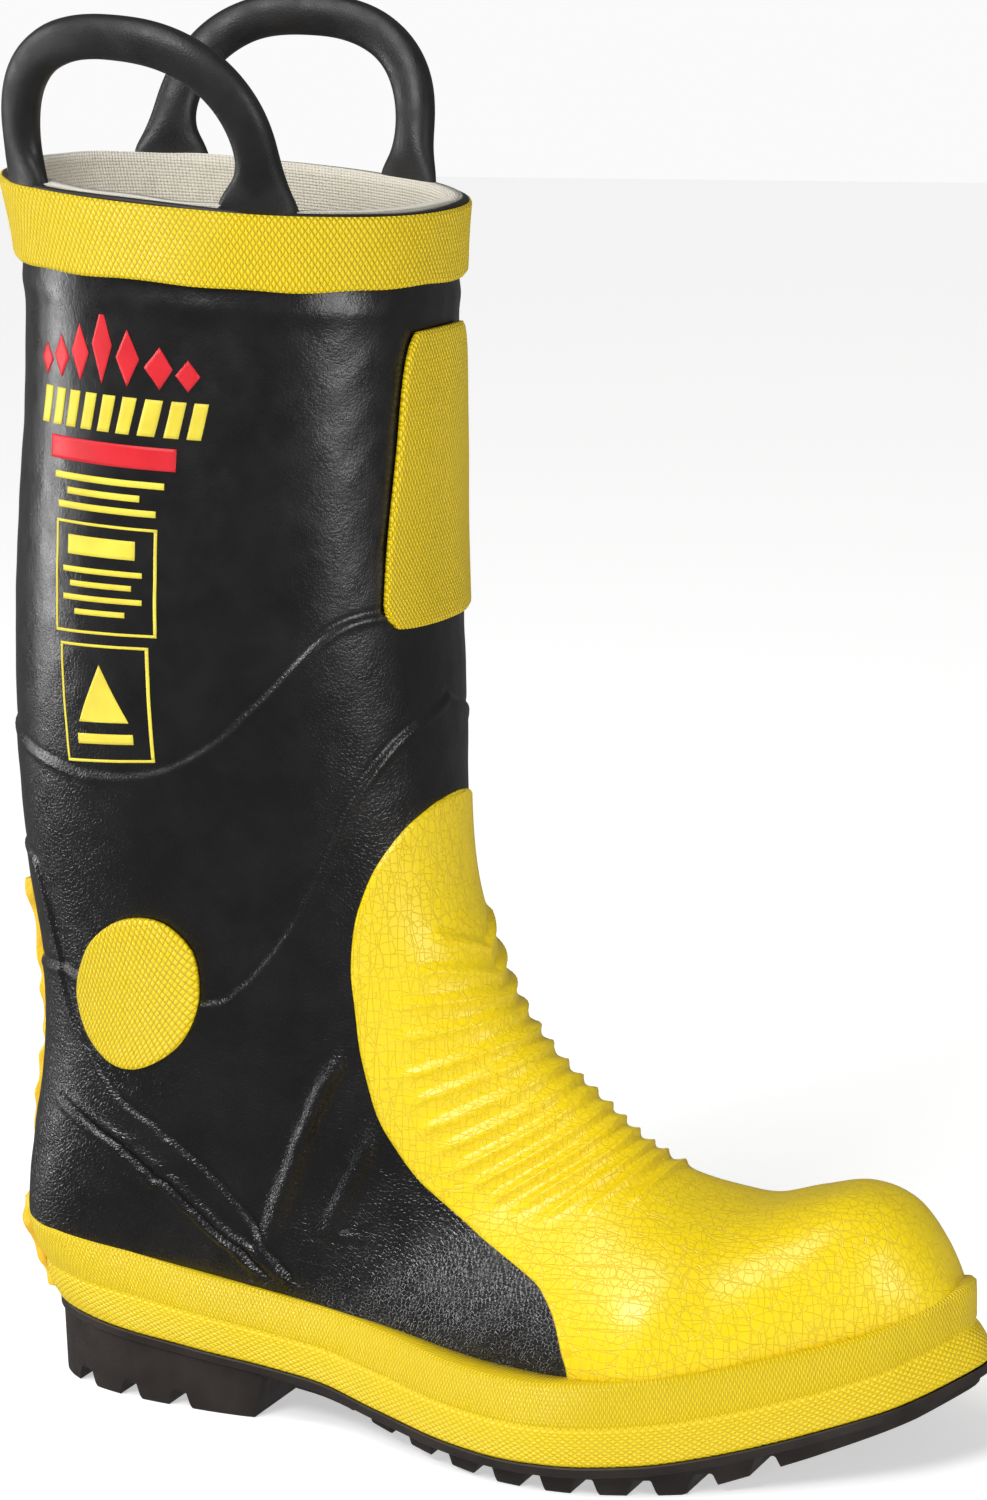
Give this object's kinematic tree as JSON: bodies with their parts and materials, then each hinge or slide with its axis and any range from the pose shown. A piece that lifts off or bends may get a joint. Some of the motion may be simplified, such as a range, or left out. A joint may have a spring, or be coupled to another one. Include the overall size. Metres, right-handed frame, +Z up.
{
  "type": "fire boot",
  "caption": "Rubber firefighting boot for the right foot, with toe guard, shin pad, ankle discs, lugged sole and pull loops that flex.",
  "frame": {"origin": "centre of the boot's footprint box, on the ground under the sole", "axes": "+X towards the toe, +Y towards the inner side of the foot, +Z up"},
  "size_m": [0.3018, 0.1298, 0.41],
  "materials": {
    "sole_rubber": "matt, slightly brown",
    "sheet_rubber": "matt",
    "black_rubber": "satin, pebbled grain",
    "yellow_rubber": "glossy toe guard, fine diamond texture on the band, pad and discs",
    "loop_rubber": "matt, fine specks",
    "canvas": "plain weave",
    "felt": "needled felt",
    "footbed_felt": "felt top on foam",
    "fibre_board": "pressed fibre",
    "filler_foam": "cork foam",
    "steel": "plain sheet"
  },
  "bodies": {
    "boot": {"outsole": "sole_rubber", "heel_filler": "filler_foam", "midsole_sheet": "sheet_rubber", "shank": "steel", "steel_midsole": "steel", "insole_board": "fibre_board", "upper": "black_rubber", "insulation_layer": "felt", "steel_toe_cap": "steel", "toe_cap_bumper": "sheet_rubber", "lining": "canvas", "foxing_band": "yellow_rubber", "toe_guard": "yellow_rubber", "shin_pad": "yellow_rubber", "outer_ankle_disc": "yellow_rubber", "inner_ankle_disc": "yellow_rubber", "heel_strip": "yellow_rubber", "heel_counter": "black_rubber", "ankle_panel": "black_rubber", "top_band": "yellow_rubber", "rim_tape": "black_rubber", "outer_loop_anchors": "loop_rubber", "inner_loop_anchors": "loop_rubber"},
    "footbed": {"footbed": "footbed_felt"},
    "outer_loop": {"outer_pull_loop": "loop_rubber"},
    "inner_loop": {"inner_pull_loop": "loop_rubber"}
  },
  "joints": [
    {"name": "outer_loop_flex", "type": "hinge", "parent": "boot", "child": "outer_loop", "pos_m": [-0.0765, -0.0463, 0.36765], "axis": [0.9942, -0.0594, -0.0891], "range_deg": [-30, 30], "stiffness_Nm_per_rad": 0.6},
    {"name": "inner_loop_flex", "type": "hinge", "parent": "boot", "child": "inner_loop", "pos_m": [-0.0765, 0.0463, 0.36765], "axis": [0.9942, 0.0594, -0.0891], "range_deg": [-30, 30], "stiffness_Nm_per_rad": 0.6},
    {"name": "footbed_lift", "type": "hinge", "parent": "boot", "child": "footbed", "pos_m": [0.12, 0.009, 0.035], "axis": [0, 1, 0], "range_deg": [0, 6]}
  ]
}
